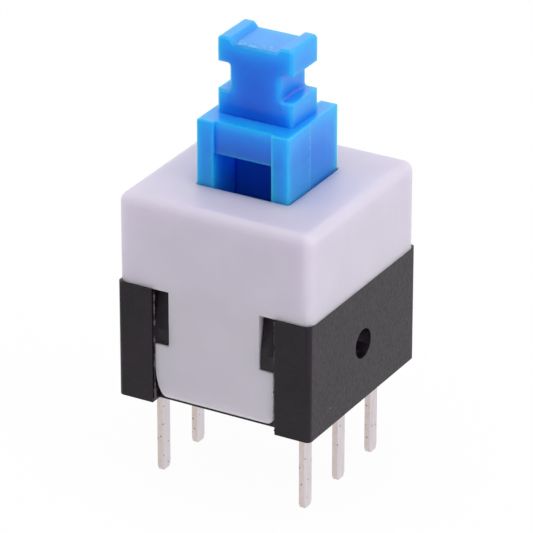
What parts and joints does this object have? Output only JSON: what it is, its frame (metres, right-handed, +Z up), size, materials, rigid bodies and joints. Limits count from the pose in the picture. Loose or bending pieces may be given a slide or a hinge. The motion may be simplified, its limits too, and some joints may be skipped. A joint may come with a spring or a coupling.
{
  "type": "self-locking push switch",
  "caption": "Square latching push switch for a circuit board: black base, white clip-on cover, sprung blue plunger held down by a heart-cam latch pin, and flat solder terminals.",
  "frame": {"origin": "centre of the base's underside, where it sits on the circuit board", "axes": "+Z up along the plunger, +Y towards the rear tongue of the cover, +X towards the right row of terminals"},
  "size_m": [0.008, 0.008, 0.0171],
  "materials": {
    "base_black": "black moulded plastic, satin",
    "cover_white": "white moulded plastic, satin",
    "plunger_blue": "translucent blue moulded acetal, satin",
    "spring_steel": "drawn spring wire",
    "latch_steel": "drawn stainless wire",
    "contact_bronze": "bare phosphor bronze",
    "terminal_tin": "matt tin plate on brass, with bare sheared edges"
  },
  "bodies": {
    "housing": {"base": "base_black", "cover": "cover_white", "return_spring": "spring_steel", "left_released_terminal": "terminal_tin", "left_common_terminal": "terminal_tin", "left_latched_terminal": "terminal_tin", "right_released_terminal": "terminal_tin", "right_common_terminal": "terminal_tin", "right_latched_terminal": "terminal_tin"},
    "plunger_set": {"plunger": "plunger_blue", "left_moving_contact": "contact_bronze", "right_moving_contact": "contact_bronze"},
    "latch": {"latch_pin": "latch_steel"}
  },
  "joints": [
    {"name": "plunger_press", "type": "slide", "parent": "housing", "child": "plunger_set", "axis": [0, 0, -1], "range_m": [0, 0.0022], "stiffness_N_per_m": 500, "deforming": ["return_spring"]},
    {"name": "latch_swing", "type": "hinge", "parent": "housing", "child": "latch", "pos_m": [0, 0.0022, 0.00125], "axis": [0, 1, 0], "range_deg": [0, 12]}
  ],
  "couplings": [
    {"joint": "latch_swing", "follows": "plunger_press", "rad_per_m": 95}
  ]
}
